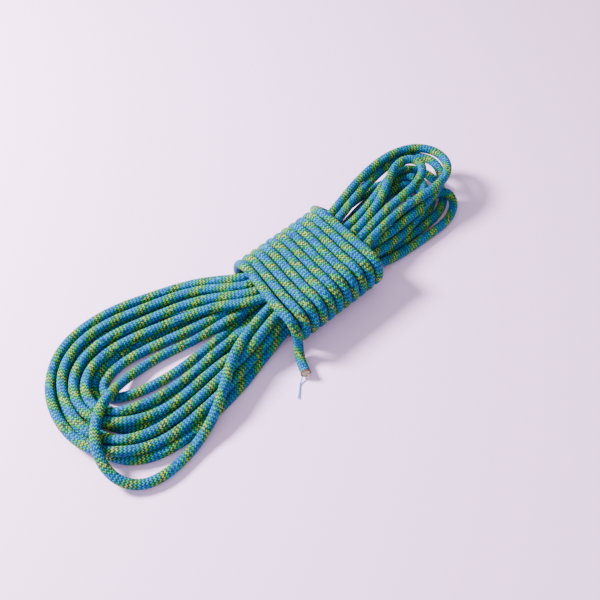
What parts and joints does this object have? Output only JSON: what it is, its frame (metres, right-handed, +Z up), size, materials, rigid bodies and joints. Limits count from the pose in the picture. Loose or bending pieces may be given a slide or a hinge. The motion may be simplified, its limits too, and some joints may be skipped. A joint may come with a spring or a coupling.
{
  "type": "climbing rope",
  "caption": "Kernmantle dynamic climbing rope with a speckled braided sheath, folded into a flat hank and wrapped round the middle with its own end.",
  "frame": {"origin": "on the surface that the rope lies on, under the middle of the whole hank", "axes": "+X along the hank towards its narrow end, +Y towards the side away from the cut end, +Z up from the surface"},
  "size_m": [0.528, 0.2116, 0.047],
  "materials": {
    "sheath": "braided polyamide, blue with green, yellow and brown speckled patches",
    "core": "twisted undyed polyamide strands",
    "tracer": "thin coloured yarn",
    "melted_end": "melted and scorched sheath",
    "sheath_yarn": "loose light blue yarn"
  },
  "bodies": {
    "root": {"hank": "sheath", "wrap": "sheath", "tail": "sheath", "sheath_end": "sheath", "core_strand_01": "core", "core_strand_02": "core", "core_strand_03": "core", "core_strand_04": "core", "core_strand_05": "core", "core_strand_06": "core", "core_strand_07": "core", "core_strand_08": "core", "core_strand_09": "core", "core_strand_10": "core", "core_strand_11": "core", "core_strand_12": "core", "tracer_yarn": "tracer", "melted_rim": "melted_end", "loose_yarn": "sheath_yarn"}
  },
  "joints": []
}
